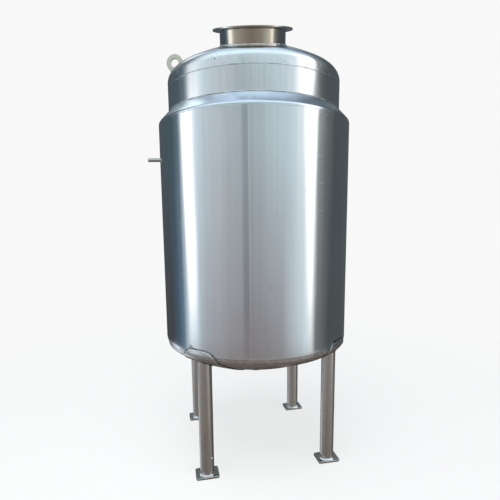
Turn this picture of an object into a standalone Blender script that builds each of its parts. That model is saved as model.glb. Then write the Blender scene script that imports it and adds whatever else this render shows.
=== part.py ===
"""Vertical jacketed storage tank: a stainless vessel in an insulated jacket, on four tubular legs.

The origin is on the floor under the tank's axis. The front is -Y, and a bearing is an angle round the
axis from the front, positive towards +X.
"""

import math

import bmesh
import bpy
from mathutils import Matrix, Vector

GAP = 0.0003
SEGMENTS = 48
KNUCKLE_STEPS = 4
CROWN_STEPS = 5

# Jacket: the outer skin, its shoulder ring and its dished bottom
JACKET_RADIUS = 0.450
JACKET_BOTTOM_Z = 0.587
JACKET_TOP_Z = 1.583
JACKET_WALL = 0.003
SHOULDER_CORNER = 0.014
SHOULDER_TOP_Z = 1.645
BOTTOM_KNUCKLE = 0.040
BOTTOM_CROWN = 0.830

# Vessel: the inner shell with a dished head at each end
VESSEL_RADIUS = 0.402
VESSEL_WALL = 0.004
HEAD_SEAM_Z = 1.744
HEAD_TANGENT_Z = 1.775
HEAD_KNUCKLE = 0.048
HEAD_CROWN = 0.740
VESSEL_BOTTOM_Z = 0.640

# Neck: a short pipe square to the dished head, off its centre
NECK_BEARING = -12.5
NECK_OFFSET = 0.245
NECK_RADIUS = 0.135
NECK_WALL = 0.003
NECK_RISE = 0.048
NECK_INSIDE = 0.012
FLANGE_RADIUS = 0.163
FLANGE_THICKNESS = 0.006

# Legs, pads and foot plates
CORNERS = {"front_left": (-1, -1), "front_right": (1, -1), "back_right": (1, 1), "back_left": (-1, 1)}
LEG_X = 0.2905
LEG_Y = 0.275
LEG_RADIUS = 0.0322
LEG_WALL = 0.003
LEG_SIDES = 24
PAD_BEARINGS = {"front_left": -45.0, "front_right": 45.0, "back_right": 135.0, "back_left": -135.0}
PAD_THICKNESS = 0.003
PAD_WIDTH = 0.194
PAD_TOP_Z = 0.608
PAD_CORNER = 0.066
PAD_INNER_RADIUS = 0.260
PAD_TRIM_RADIUS = 0.400
PAD_TRIM_DEPTH = 0.34
FOOT_WIDTH = 0.105
FOOT_DEPTH = 0.082
FOOT_THICKNESS = 0.010
FOOT_CORNER = 0.004

# Lifting lugs, standing on the head in radial planes
LUG_BEARINGS = {"left": -107.5, "right": 107.5}
LUG_BASE_RADIUS = 0.334
LUG_LEAN = 34.0
LUG_EYE_HEIGHT = 0.0843
LUG_RADIUS = 0.040
LUG_HOLE_RADIUS = 0.019
LUG_THICKNESS = 0.008

# Side nozzle through the jacket, and the outlet under the vessel
NOZZLE_BEARING = -102.0
NOZZLE_Z = 1.452
NOZZLE_RADIUS = 0.009
NOZZLE_WALL = 0.002
NOZZLE_TIP_RADIUS = 0.519
NOZZLE_INNER_END = 0.430
OUTLET_RADIUS = 0.0255
OUTLET_WALL = 0.002
OUTLET_END_Z = 0.381
OUTLET_INSIDE = 0.004
FERRULE_RADIUS = 0.032
FERRULE_THICKNESS = 0.006

STEEL = (0.56, 0.58, 0.60, 1.0)
LEG_STEEL = (0.50, 0.47, 0.44, 1.0)
LUG_STEEL = (0.52, 0.51, 0.46, 1.0)


def clear_scene():
    for item in list(bpy.data.objects):
        bpy.data.objects.remove(item, do_unlink=True)


def new_collection(name):
    group = bpy.data.collections.new(name)
    bpy.context.scene.collection.children.link(group)
    return group


def steel(name, color, roughness):
    material = bpy.data.materials.new(name)
    material.use_nodes = True
    shader = material.node_tree.nodes["Principled BSDF"]
    shader.inputs["Base Color"].default_value = color
    shader.inputs["Metallic"].default_value = 1.0
    shader.inputs["Roughness"].default_value = roughness
    return material


def at_bearing(bearing, radius, z):
    angle = math.radians(bearing)
    return Vector((radius * math.sin(angle), -radius * math.cos(angle), z))


def arc(centre_r, centre_z, radius, start, end, steps):
    """Profile points on an arc, both ends included; angles in degrees, 0 outwards and 90 up."""
    turn = (end - start) / steps
    angles = [math.radians(start + turn * i) for i in range(steps + 1)]
    return [(centre_r + radius * math.cos(a), centre_z + radius * math.sin(a)) for a in angles]


def dish(tangent_z, edge_radius, knuckle, crown, offset):
    """Profile of a dished head from its tangent line up to the axis, moved outwards by an offset."""
    knuckle_r = edge_radius - knuckle
    join = math.degrees(math.asin(knuckle_r / (crown - knuckle)))
    crown_z = tangent_z - math.sqrt((crown - knuckle) ** 2 - knuckle_r ** 2)
    edge = arc(knuckle_r, tangent_z, knuckle + offset, 0, 90 - join, KNUCKLE_STEPS)
    top = arc(0, crown_z, crown + offset, 90 - join, 90, CROWN_STEPS)
    return edge + top[1:-1] + [(0.0, top[-1][1])]


def flipped(points, tangent_z):
    """The same profile turned over about its tangent line, for a bottom head."""
    return [(r, 2 * tangent_z - z) for r, z in points]


def crown_centre_z():
    """Height of the centre of the top head's crown sphere."""
    reach = HEAD_CROWN - HEAD_KNUCKLE
    return HEAD_TANGENT_Z - math.sqrt(reach ** 2 - (VESSEL_RADIUS - HEAD_KNUCKLE) ** 2)


def finish(item, material, group):
    for other in list(item.users_collection):
        other.objects.unlink(item)
    group.objects.link(item)
    item.data.materials.clear()
    item.data.materials.append(material)
    return item


def as_cutter(item):
    item.hide_render = True
    item.display_type = "WIRE"
    return item


def turned(name, points, material, group, segments=SEGMENTS, closed=True):
    """A profile of (radius, z) points turned about Z; a closed profile becomes a ring."""
    mesh = bpy.data.meshes.new(name)
    build = bmesh.new()
    verts = [build.verts.new((r, 0, z)) for r, z in points]
    pairs = list(zip(verts, verts[1:]))
    if closed:
        pairs.append((verts[-1], verts[0]))
    for a, b in pairs:
        build.edges.new((a, b))
    build.to_mesh(mesh)
    build.free()
    item = bpy.data.objects.new(name, mesh)
    screw = item.modifiers.new("turn", "SCREW")
    screw.axis = "Z"
    screw.angle = math.tau
    screw.steps = segments
    screw.render_steps = segments
    screw.use_merge_vertices = True
    screw.merge_threshold = 0.00001
    return finish(item, material, group)


def ring(name, outer, inner, low, high, material, group, segments=SEGMENTS):
    """A plain tube or washer, its profile run down the outer side."""
    points = [(outer, high), (outer, low), (inner, low), (inner, high)]
    return turned(name, points, material, group, segments)


def box(name, size, place, material, group):
    mesh = bpy.data.meshes.new(name)
    build = bmesh.new()
    bmesh.ops.create_cube(build, size=1.0, matrix=Matrix.Diagonal((*size, 1.0)))
    build.to_mesh(mesh)
    build.free()
    item = bpy.data.objects.new(name, mesh)
    item.location = place
    return finish(item, material, group)


def drum(name, radius, low, high, material, group, segments=SEGMENTS):
    """A solid cylinder about Z."""
    mesh = bpy.data.meshes.new(name)
    build = bmesh.new()
    place = Matrix.Translation((0, 0, (low + high) / 2))
    ends = {"radius1": radius, "radius2": radius, "depth": high - low}
    bmesh.ops.create_cone(build, cap_ends=True, segments=segments, matrix=place, **ends)
    build.to_mesh(mesh)
    build.free()
    return finish(bpy.data.objects.new(name, mesh), material, group)


def combine(item, cutter, operation):
    change = item.modifiers.new(cutter.name, "BOOLEAN")
    change.operation = operation
    change.solver = "EXACT"
    change.object = cutter
    return item


def outline(name, points, thickness, material, group):
    """A flat plate in the XZ plane from a closed outline of (x, z) points, centred on Y = 0."""
    curve = bpy.data.curves.new(name, "CURVE")
    curve.dimensions = "2D"
    curve.fill_mode = "BOTH"
    curve.extrude = thickness / 2
    line = curve.splines.new("POLY")
    line.points.add(len(points) - 1)
    for point, (x, z) in zip(line.points, points):
        point.co = (x, z, 0, 1)
    line.use_cyclic_u = True
    flat = bpy.data.objects.new(name + "_outline", curve)
    bpy.context.scene.collection.objects.link(flat)
    bpy.context.view_layer.update()
    graph = bpy.context.evaluated_depsgraph_get()
    mesh = bpy.data.meshes.new_from_object(flat.evaluated_get(graph))
    bpy.data.objects.remove(flat, do_unlink=True)
    build = bmesh.new()
    build.from_mesh(mesh)
    bmesh.ops.remove_doubles(build, verts=build.verts, dist=0.00001)
    bmesh.ops.rotate(build, verts=build.verts, matrix=Matrix.Rotation(math.radians(90), 3, "X"))
    bmesh.ops.recalc_face_normals(build, faces=build.faces)
    build.to_mesh(mesh)
    build.free()
    return finish(bpy.data.objects.new(name, mesh), material, group)


def make_vessel(parts, cutters, metal):
    """Inner shell, its two dished heads, and the openings for the neck and the outlet."""
    inner = VESSEL_RADIUS - VESSEL_WALL
    low = VESSEL_BOTTOM_Z + GAP / 2
    ring("vessel_shell", VESSEL_RADIUS, inner, low, HEAD_SEAM_Z - GAP / 2, metal, parts)

    outside = dish(HEAD_TANGENT_Z, VESSEL_RADIUS, HEAD_KNUCKLE, HEAD_CROWN, 0)
    inside = dish(HEAD_TANGENT_Z, VESSEL_RADIUS, HEAD_KNUCKLE, HEAD_CROWN, -VESSEL_WALL)
    low = HEAD_SEAM_Z + GAP / 2
    profile = list(reversed(outside)) + [(VESSEL_RADIUS, low), (inner, low)] + inside
    top = turned("vessel_top_head", profile, metal, parts, closed=False)

    outside = flipped(dish(VESSEL_BOTTOM_Z, VESSEL_RADIUS, HEAD_KNUCKLE, HEAD_CROWN, 0), VESSEL_BOTTOM_Z)
    inside = dish(VESSEL_BOTTOM_Z, VESSEL_RADIUS, HEAD_KNUCKLE, HEAD_CROWN, -VESSEL_WALL)
    inside = flipped(inside, VESSEL_BOTTOM_Z)
    edge = VESSEL_BOTTOM_Z - GAP / 2
    outside[0] = (outside[0][0], edge)
    inside[0] = (inside[0][0], edge)
    profile = list(reversed(inside)) + outside
    bottom = turned("vessel_bottom_head", profile, metal, parts, closed=False)

    neck_hole = drum("neck_hole", NECK_RADIUS + GAP, 0.5, 1.0, metal, cutters)
    place_on_head(as_cutter(neck_hole))
    combine(top, neck_hole, "DIFFERENCE")
    outlet_hole = drum("outlet_hole", OUTLET_RADIUS + GAP, 0.36, 0.62, metal, cutters, LEG_SIDES)
    combine(bottom, as_cutter(outlet_hole), "DIFFERENCE")
    return outlet_hole


def place_on_head(item):
    """Stands an object that is built about Z on the crown sphere's centre, leaning along the neck."""
    lean = math.asin(NECK_OFFSET / HEAD_CROWN)
    turn = Matrix.Rotation(math.radians(NECK_BEARING), 4, "Z")
    item.matrix_world = Matrix.Translation((0, 0, crown_centre_z())) @ turn @ Matrix.Rotation(lean, 4, "X")
    return item


def make_neck(parts, metal):
    """The neck pipe passes through the head, and the flange caps its rim."""
    flange_top = HEAD_CROWN + NECK_RISE
    flange_low = flange_top - FLANGE_THICKNESS
    root = math.sqrt((HEAD_CROWN - VESSEL_WALL) ** 2 - NECK_RADIUS ** 2)
    bore = NECK_RADIUS - NECK_WALL
    pipe = ring("neck_pipe", NECK_RADIUS, bore, root - NECK_INSIDE, flange_low - GAP, metal, parts)
    flange = ring("neck_flange", FLANGE_RADIUS, bore, flange_low, flange_top, metal, parts)
    place_on_head(pipe)
    place_on_head(flange)


def bottom_skin(offset):
    """Profile of the jacket's dished bottom, from the axis out to its tangent line."""
    points = dish(JACKET_BOTTOM_Z, JACKET_RADIUS, BOTTOM_KNUCKLE, BOTTOM_CROWN, offset)
    return list(reversed(flipped(points, JACKET_BOTTOM_Z)))


def make_jacket(parts, cutters, metal, outlet_hole):
    """Rolled skin, shoulder ring up to the vessel, and dished bottom."""
    inner = JACKET_RADIUS - JACKET_WALL
    low = JACKET_BOTTOM_Z + GAP / 2
    shell = ring("jacket_shell", JACKET_RADIUS, inner, low, JACKET_TOP_Z - GAP / 2, metal, parts)
    nozzle_hole = drum("nozzle_hole", NOZZLE_RADIUS + GAP, -0.06, 0.06, metal, cutters, 16)
    nozzle_hole.matrix_world = nozzle_frame((NOZZLE_INNER_END + NOZZLE_TIP_RADIUS) / 2)
    combine(shell, as_cutter(nozzle_hole), "DIFFERENCE")

    rise = SHOULDER_TOP_Z - JACKET_TOP_Z
    run = JACKET_RADIUS - VESSEL_RADIUS - GAP
    slope = math.degrees(math.atan2(rise, run))
    turn = 90 - slope
    reach = SHOULDER_CORNER * math.tan(math.radians(turn / 2))
    low = JACKET_TOP_Z + GAP / 2
    corner_z = low + reach
    outer = arc(JACKET_RADIUS - SHOULDER_CORNER, corner_z, SHOULDER_CORNER, 0, turn, 3)
    inner_arc = arc(JACKET_RADIUS - SHOULDER_CORNER, corner_z, SHOULDER_CORNER - JACKET_WALL, 0, turn, 3)
    top_r = VESSEL_RADIUS + GAP
    top_outer = (top_r, SHOULDER_TOP_Z)
    drop = JACKET_WALL / math.cos(math.radians(slope))
    top_inner = (top_r, SHOULDER_TOP_Z - drop)
    foot = [(JACKET_RADIUS, low), (inner, low)]
    profile = [top_outer] + list(reversed(outer)) + foot + inner_arc + [top_inner]
    turned("jacket_shoulder", profile, metal, parts)

    outer_skin = bottom_skin(0)
    inner_skin = bottom_skin(-JACKET_WALL)
    edge = JACKET_BOTTOM_Z - GAP / 2
    outer_skin[-1] = (outer_skin[-1][0], edge)
    inner_skin[-1] = (inner_skin[-1][0], edge)
    profile = inner_skin + list(reversed(outer_skin))
    bottom = turned("jacket_bottom", profile, metal, parts, closed=False)
    combine(bottom, outlet_hole, "DIFFERENCE")


def make_pads(parts, cutters, metal):
    """Reinforcing pads wrapped over the jacket's lower corner where each leg meets it."""
    lift = GAP + PAD_THICKNESS
    under = [point for point in bottom_skin(GAP) if point[0] > PAD_INNER_RADIUS]
    over = [point for point in bottom_skin(lift) if point[0] > PAD_INNER_RADIUS]
    wall = [(JACKET_RADIUS + lift, PAD_TOP_Z + 0.05), (JACKET_RADIUS + GAP, PAD_TOP_Z + 0.05)]
    for name, bearing in PAD_BEARINGS.items():
        pad = turned("leg_pad_" + name, over + wall + list(reversed(under)), metal, parts)
        half = PAD_WIDTH / 2
        shape = arc(half - PAD_CORNER, PAD_TOP_Z - PAD_CORNER, PAD_CORNER, 0, 90, 6)
        shape += arc(PAD_CORNER - half, PAD_TOP_Z - PAD_CORNER, PAD_CORNER, 90, 180, 6)
        shape += [(-half, JACKET_BOTTOM_Z - 0.2), (half, JACKET_BOTTOM_Z - 0.2)]
        trim = outline("pad_trim_" + name, shape, PAD_TRIM_DEPTH, metal, cutters)
        trim.location = at_bearing(bearing, PAD_TRIM_RADIUS, 0)
        trim.rotation_euler.z = math.radians(bearing)
        combine(pad, as_cutter(trim), "INTERSECT")


def make_legs(parts, cutters, metal, plate_metal):
    """Tubular legs, their tops shaped to the pads, standing on foot plates."""
    clearance = GAP + PAD_THICKNESS + GAP
    body = bottom_skin(clearance) + [(JACKET_RADIUS + clearance, 0.75), (0.0, 0.75)]
    body_cutter = as_cutter(turned("leg_top_trim", list(reversed(body)), metal, cutters, closed=False))
    for name, (side, front) in CORNERS.items():
        place = Vector((side * LEG_X, front * LEG_Y, 0))
        foot = FOOT_THICKNESS + GAP
        leg = ring("leg_" + name, LEG_RADIUS, LEG_RADIUS - LEG_WALL, foot, 0.62, metal, parts, LEG_SIDES)
        leg.location = place
        combine(leg, body_cutter, "DIFFERENCE")
        size = (FOOT_WIDTH, FOOT_DEPTH, FOOT_THICKNESS)
        middle = place + Vector((0, 0, FOOT_THICKNESS / 2))
        plate = box("foot_plate_" + name, size, middle, plate_metal, parts)
        corner = plate.modifiers.new("corners", "BEVEL")
        corner.width = FOOT_CORNER
        corner.segments = 2
        corner.limit_method = "ANGLE"


def lug_shape():
    """Lug outline: straight sides from below the head's skin up to a round eye."""
    foot = -0.030
    top = arc(0, LUG_EYE_HEIGHT, LUG_RADIUS, 0, 180, 12)
    return top + [(-LUG_RADIUS, foot), (LUG_RADIUS, foot)]


def make_lugs(parts, cutters, metal):
    """Lifting lugs standing on the head, their feet cut to its curve."""
    skin = dish(HEAD_TANGENT_Z, VESSEL_RADIUS, HEAD_KNUCKLE, HEAD_CROWN, GAP)
    body = list(reversed(skin)) + [(VESSEL_RADIUS + GAP, HEAD_SEAM_Z), (0.0, HEAD_SEAM_Z)]
    body_cutter = as_cutter(turned("lug_foot_trim", body, metal, cutters, closed=False))
    reach = math.sqrt(HEAD_CROWN ** 2 - LUG_BASE_RADIUS ** 2)
    base_z = crown_centre_z() + reach
    for name, bearing in LUG_BEARINGS.items():
        lug = outline("lifting_lug_" + name, lug_shape(), LUG_THICKNESS, metal, parts)
        hole = drum("lug_hole_" + name, LUG_HOLE_RADIUS, -0.02, 0.02, metal, cutters, 20)
        lean = Matrix.Rotation(math.radians(LUG_LEAN), 4, "Y")
        turn = Matrix.Rotation(math.radians(bearing - 90), 4, "Z")
        stand = Matrix.Translation(at_bearing(bearing, LUG_BASE_RADIUS, base_z)) @ turn @ lean
        lug.matrix_world = stand
        eye = Matrix.Translation((0, 0, LUG_EYE_HEIGHT)) @ Matrix.Rotation(math.radians(90), 4, "X")
        hole.matrix_world = stand @ eye
        combine(lug, as_cutter(hole), "DIFFERENCE")
        combine(lug, body_cutter, "DIFFERENCE")


def nozzle_frame(radius):
    """Matrix of an object whose Z axis runs outwards along the side nozzle, centred at a radius."""
    turn = Matrix.Rotation(math.radians(NOZZLE_BEARING - 90), 4, "Z")
    return Matrix.Translation(at_bearing(NOZZLE_BEARING, radius, NOZZLE_Z)) @ turn @ Matrix.Rotation(
        math.radians(90), 4, "Y"
    )


def make_nozzles(parts, metal):
    """Side nozzle through the jacket, and the bottom outlet with its ferrule."""
    half = (NOZZLE_TIP_RADIUS - NOZZLE_INNER_END) / 2
    nozzle = ring("side_nozzle", NOZZLE_RADIUS, NOZZLE_RADIUS - NOZZLE_WALL, -half, half, metal, parts, 16)
    nozzle.matrix_world = nozzle_frame(NOZZLE_TIP_RADIUS - half)
    bore = OUTLET_RADIUS - OUTLET_WALL
    face = OUTLET_END_Z + FERRULE_THICKNESS
    top = bottom_head_low_z() + VESSEL_WALL + OUTLET_INSIDE
    ring("bottom_outlet", OUTLET_RADIUS, bore, face + GAP, top, metal, parts, LEG_SIDES)
    ring("outlet_ferrule", FERRULE_RADIUS, bore, OUTLET_END_Z, face, metal, parts, LEG_SIDES)


def bottom_head_low_z():
    """Height of the lowest point of the vessel's bottom head, outside."""
    return VESSEL_BOTTOM_Z - (crown_centre_z() + HEAD_CROWN - HEAD_TANGENT_Z)


def main():
    clear_scene()
    parts = new_collection("vertical_storage_tank")
    cutters = new_collection("cutters")
    skin = steel("brushed_steel", STEEL, 0.25)
    leg_metal = steel("leg_steel", LEG_STEEL, 0.35)
    plate_metal = steel("plate_steel", LEG_STEEL, 0.45)
    lug_metal = steel("lug_steel", LUG_STEEL, 0.5)
    outlet_hole = make_vessel(parts, cutters, skin)
    make_neck(parts, skin)
    make_jacket(parts, cutters, skin, outlet_hole)
    make_pads(parts, cutters, skin)
    make_legs(parts, cutters, leg_metal, plate_metal)
    make_lugs(parts, cutters, lug_metal)
    make_nozzles(parts, skin)


main()
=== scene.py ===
"""Looks of the vertical jacketed storage tank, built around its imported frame.

Metres, +Z up, front -Y. A bearing is an angle round the tank's axis from the front, positive towards +X.
"""
from math import acos, asin, atan2, cos, degrees, exp, hypot, pi, radians, sin, sqrt, tan, tau

import bmesh
import bpy
from mathutils import Matrix, Vector, noise


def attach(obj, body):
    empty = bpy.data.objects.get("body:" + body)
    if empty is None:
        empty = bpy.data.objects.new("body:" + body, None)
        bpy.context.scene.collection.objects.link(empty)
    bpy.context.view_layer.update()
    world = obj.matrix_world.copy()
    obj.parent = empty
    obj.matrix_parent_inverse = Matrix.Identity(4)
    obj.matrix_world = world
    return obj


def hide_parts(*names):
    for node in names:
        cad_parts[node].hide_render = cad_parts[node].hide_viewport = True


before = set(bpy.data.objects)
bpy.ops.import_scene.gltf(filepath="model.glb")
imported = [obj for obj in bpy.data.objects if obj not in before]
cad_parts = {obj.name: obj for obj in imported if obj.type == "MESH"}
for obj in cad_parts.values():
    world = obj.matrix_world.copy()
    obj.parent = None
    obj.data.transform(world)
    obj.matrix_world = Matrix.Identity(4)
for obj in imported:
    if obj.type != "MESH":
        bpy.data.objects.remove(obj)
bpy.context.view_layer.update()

GAP = 0.0003
FINE = 192
MEDIUM = 64
COARSE = 48
BEAD_SIDES = 8

# Jacket
JACKET_RADIUS = 0.45
JACKET_BOTTOM_Z = 0.587
JACKET_TOP_Z = 1.583
JACKET_WALL = 0.003
SHOULDER_CORNER = 0.014
SHOULDER_TOP_Z = 1.645
BOTTOM_KNUCKLE = 0.04
BOTTOM_CROWN = 0.83
BOTTOM_RUN = 0.51

# Vessel
VESSEL_RADIUS = 0.402
VESSEL_WALL = 0.004
HEAD_SEAM_Z = 1.744
HEAD_TANGENT_Z = 1.775
HEAD_KNUCKLE = 0.048
HEAD_CROWN = 0.74
VESSEL_BOTTOM_Z = 0.64

# Neck
NECK_BEARING = -12.5
NECK_OFFSET = 0.245
NECK_RADIUS = 0.135
NECK_WALL = 0.003
NECK_RISE = 0.048
NECK_INSIDE = 0.012
FLANGE_RADIUS = 0.163
FLANGE_THICKNESS = 0.006

# Legs, their pads and foot plates
CORNERS = {"front_left": (-1, -1), "front_right": (1, -1), "back_right": (1, 1), "back_left": (-1, 1)}
LEG_X = 0.2905
LEG_Y = 0.275
LEG_RADIUS = 0.0322
LEG_WALL = 0.003
PAD_BEARINGS = {"front_left": -45, "front_right": 45, "back_right": 135, "back_left": -135}
PAD_THICKNESS = 0.003
PAD_HALF = 0.097
PAD_TOP_Z = 0.608
PAD_CORNER = 0.066
PAD_CORNER_STEPS = 14
PAD_SOFT = 0.0009
PAD_INNER_RADIUS = 0.2675
FOOT_WIDTH = 0.105
FOOT_DEPTH = 0.082
FOOT_THICKNESS = 0.01
FOOT_CORNER = 0.01
LEG_LOW_Z = FOOT_THICKNESS + GAP

# Lugs, side nozzle and outlet
LUG_BEARINGS = {"left": -107.5, "right": 107.5}
LUG_BASE_RADIUS = 0.334
LUG_LEAN = 34
LUG_EYE_HEIGHT = 0.0843
LUG_RADIUS = 0.04
LUG_HOLE_RADIUS = 0.019
LUG_THICKNESS = 0.008
LUG_LENGTH = 0.2
LUG_SOFT = 0.001
LUG_STEPS = 144
NOZZLE_BEARING = -102
NOZZLE_Z = 1.452
NOZZLE_RADIUS = 0.009
NOZZLE_WALL = 0.002
NOZZLE_TIP_RADIUS = 0.519
NOZZLE_INNER_END = 0.43
OUTLET_RADIUS = 0.0255
OUTLET_WALL = 0.002
OUTLET_END_Z = 0.381
OUTLET_INSIDE = 0.004
FERRULE_RADIUS = 0.032
FERRULE_THICKNESS = 0.006

# Seams that run up the sheets
JACKET_SEAM_BEARING = -14.6
SHOULDER_SEAM_BEARING = -13.2

# Small welds on the jacket: name, bearing, height, half the length in degrees, width and height of the bead
JACKET_TICKS = (
    ("jacket_tack", 27.6, 1.566, 0.3, 0.0045, 0.001),
    ("jacket_tick_high", 24.6, 1.407, 2, 0.002, 0.0004),
    ("jacket_tick_middle", 24.8, 1.3, 2, 0.002, 0.0004),
    ("jacket_tick_low", 25, 1.191, 1.5, 0.0018, 0.0004),
)
TICK_RISE = 0.0008
WELD_SUNK = 0.0001
# The front left leg's nick, from one end to the other
NICK_BEARINGS = (32, 43)
NICK_HEIGHTS = (0.086, 0.097)

# Hand work: the rolled sheets' waves, the dent along the long seam and the hammered lower edge
JACKET_WAVE = 0.0006
SHOULDER_WAVE = 0.0005
COLLAR_WAVE = 0.0002
SEAM_DENT = 0.7
SEAM_DENT_WIDTH = 2.2
DRESSED_HEIGHT = 0.016
DRESSED_BEARING = -80
DRESSED_SPREAD = 24
DRESSED_LEAST = 0.0001
DRESSED_MOST = 0.0016
UNDER_TAPER = 0.11
UNDER_SOFT = 0.0005


# Shapes

def at_bearing(bearing, radius, z):
    """Point or direction by bearing, radius and height."""
    angle = radians(bearing)
    return Vector((radius * sin(angle), -radius * cos(angle), z))


def spread(start, end, steps):
    """Evenly spaced values, both ends included."""
    return [start + (end - start) * i / steps for i in range(steps + 1)]


def all_round(count):
    """Evenly spaced bearings round the whole circle."""
    return [360 * i / count for i in range(count)]


def arc(centre_r, centre_z, radius, start, end, steps):
    """Profile points on an arc, both ends included; angles in degrees, 0 outwards and 90 up."""
    angles = [radians(a) for a in spread(start, end, steps)]
    return [(centre_r + radius * cos(a), centre_z + radius * sin(a)) for a in angles]


def dish(tangent_z, edge_radius, knuckle, crown, offset, steps=(12, 16)):
    """Profile of a dished head from its tangent line up to the axis, moved outwards by an offset."""
    knuckle_r = edge_radius - knuckle
    join = degrees(asin(knuckle_r / (crown - knuckle)))
    crown_z = tangent_z - sqrt((crown - knuckle) ** 2 - knuckle_r ** 2)
    edge = arc(knuckle_r, tangent_z, knuckle + offset, 0, 90 - join, steps[0])
    top = arc(0, crown_z, crown + offset, 90 - join, 90, steps[1])
    return edge + top[1:]


def flipped(points, tangent_z):
    """The same profile turned over about its tangent line, for a bottom head."""
    return [(r, 2 * tangent_z - z) for r, z in points]


def rounded(corners, steps=3):
    """A closed outline of (x, y, fillet radius) corners, each corner with a radius turned into an arc."""
    points = []
    for i, (x, y, radius) in enumerate(corners):
        here = Vector((x, y))
        if radius == 0:
            points.append((x, y))
            continue
        before = (Vector(corners[i - 1][:2]) - here).normalized()
        after = (Vector(corners[(i + 1) % len(corners)][:2]) - here).normalized()
        half = before.angle(after) / 2
        centre = here + (before + after).normalized() * radius / sin(half)
        reach = radius / tan(half)
        first = here + before * reach - centre
        last = here + after * reach - centre
        start = atan2(first.y, first.x)
        turn = (atan2(last.y, last.x) - start + pi) % tau - pi
        for angle in spread(start, start + turn, steps):
            points.append((centre.x + radius * cos(angle), centre.y + radius * sin(angle)))
    return points


def up_to_outlet(points, seam_z):
    """A dished bottom's profile from just under its seam in to the outlet's hole."""
    hole = OUTLET_RADIUS + GAP
    kept = [p for p in points if p[0] > hole]
    (r0, z0), (r1, z1) = kept[-1], points[len(kept)]
    share = (r0 - hole) / (r0 - r1)
    return [(points[0][0], seam_z - GAP / 2)] + kept[1:] + [(hole, z0 + (z1 - z0) * share)]


def add_object(name, data):
    thing = bpy.data.objects.new(name, data)
    bpy.context.scene.collection.objects.link(thing)
    return thing


def add_piece(name, verts, faces, material, node=None, sharp=32):
    """Put a smooth-shaded piece on the one body; it may stand for a CAD node.

    Edges that bend by more than the sharp angle stay sharp.
    """
    mesh = bpy.data.meshes.new(name)
    mesh.from_pydata([tuple(v) for v in verts], [], faces)
    build = bmesh.new()
    build.from_mesh(mesh)
    bmesh.ops.remove_doubles(build, verts=build.verts, dist=1e-6)
    bmesh.ops.recalc_face_normals(build, faces=build.faces)
    build.to_mesh(mesh)
    build.free()
    mesh.shade_smooth()
    mesh.set_sharp_from_angle(angle=radians(sharp))
    mesh.materials.append(material)
    piece = add_object(name, mesh)
    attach(piece, "root")
    if node:
        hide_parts(node)


def sheet_faces(rows, columns, closed_rows, closed_columns):
    """Quads over a grid of points stored row by row."""
    faces = []
    for i in range(rows if closed_rows else rows - 1):
        for j in range(columns if closed_columns else columns - 1):
            a, b = i * columns, (i + 1) % rows * columns
            k = (j + 1) % columns
            faces.append((a + j, b + j, b + k, a + k))
    return faces


def lathe(name, profile, material, node, segments=FINE, put=Matrix(), shift=None):
    """Add a closed (radius, z) outline turned about Z; shift may move each point by its bearing."""
    verts = []
    for bearing in all_round(segments):
        for r, z in profile:
            if shift:
                r, z = shift(bearing, r, z)
            verts.append(put @ at_bearing(bearing, r, z))
    add_piece(name, verts, sheet_faces(segments, len(profile), True, True), material, node)


def weld(name, path, width, height, material, closed=True, wobble=0.5, taper=0):
    """Add a weld bead along a path of (point, outward direction) pairs, uneven as if made by hand."""
    verts = []
    count = len(path)
    for i, (point, out) in enumerate(path):
        after = path[(i + 1) % count][0] if closed or i + 1 < count else point
        before = path[i - 1][0] if closed or i > 0 else point
        along = (after - before).normalized()
        side = along.cross(out).normalized()
        up = side.cross(along).normalized()
        swell = 1 + wobble * noise.noise(point * 90)
        if taper:
            edge = min(i, count - 1 - i) / (count * taper)
            swell *= 0.35 + 0.65 * min(1, edge)
        for k in range(BEAD_SIDES):
            angle = tau * k / BEAD_SIDES
            across = side * (cos(angle) * width / 2 * swell)
            verts.append(point + across + up * (sin(angle) * height * swell))
    faces = sheet_faces(count, BEAD_SIDES, closed, True)
    if not closed:
        faces.append(tuple(range(BEAD_SIDES)))
        faces.append(tuple(range((count - 1) * BEAD_SIDES, count * BEAD_SIDES)))
    add_piece(name, verts, faces, material, sharp=80)


def ring_path(radius, z, lift, count=FINE, put=Matrix(), inset=None):
    """A level circle of (point, outward direction), which an inset may pull in by its bearing.

    The lift is the outward direction's slope in degrees.
    """
    path = []
    slope = radians(lift)
    for bearing in all_round(count):
        r = radius - inset(bearing) if inset else radius
        out = at_bearing(bearing, cos(slope), sin(slope))
        path.append((put @ at_bearing(bearing, r, z), put.to_3x3() @ out))
    return path


def off_bearing(bearing, middle):
    """Degrees from one bearing to another, from -180 to 180."""
    return (bearing - middle + 180) % 360 - 180


def last_passing(low, high, passes):
    """The highest value between two bounds that passes a test which fails from some value on."""
    for _ in range(40):
        middle = (low + high) / 2
        if passes(middle):
            low = middle
        else:
            high = middle
    return low


def jacket_shift(bearing, radius, z):
    """Slow out-of-roundness of the rolled jacket sheet; its outside never passes the nominal radius."""
    here = at_bearing(bearing, radius, z)
    swell = noise.noise(Vector((here.x * 7, here.y * 7, z * 2.1 + 4)))
    swell += 0.5 * noise.noise(Vector((here.x * 15, here.y * 15, z * 4.3 + 9)))
    swell -= SEAM_DENT * exp(-(off_bearing(bearing, JACKET_SEAM_BEARING) / SEAM_DENT_WIDTH) ** 2)
    up_edge = max(0, 1 - (z - JACKET_BOTTOM_Z) / DRESSED_HEIGHT)
    inward = JACKET_WAVE * (1 - max(-1, min(1, swell))) + dressed(bearing) * up_edge ** 2
    return radius - inward, z


def dressed(bearing):
    """How far the jacket's lower edge was hammered in, mostly at the left beside a pad."""
    off = off_bearing(bearing, DRESSED_BEARING) / DRESSED_SPREAD
    return DRESSED_LEAST + DRESSED_MOST * exp(-off ** 4)


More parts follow.
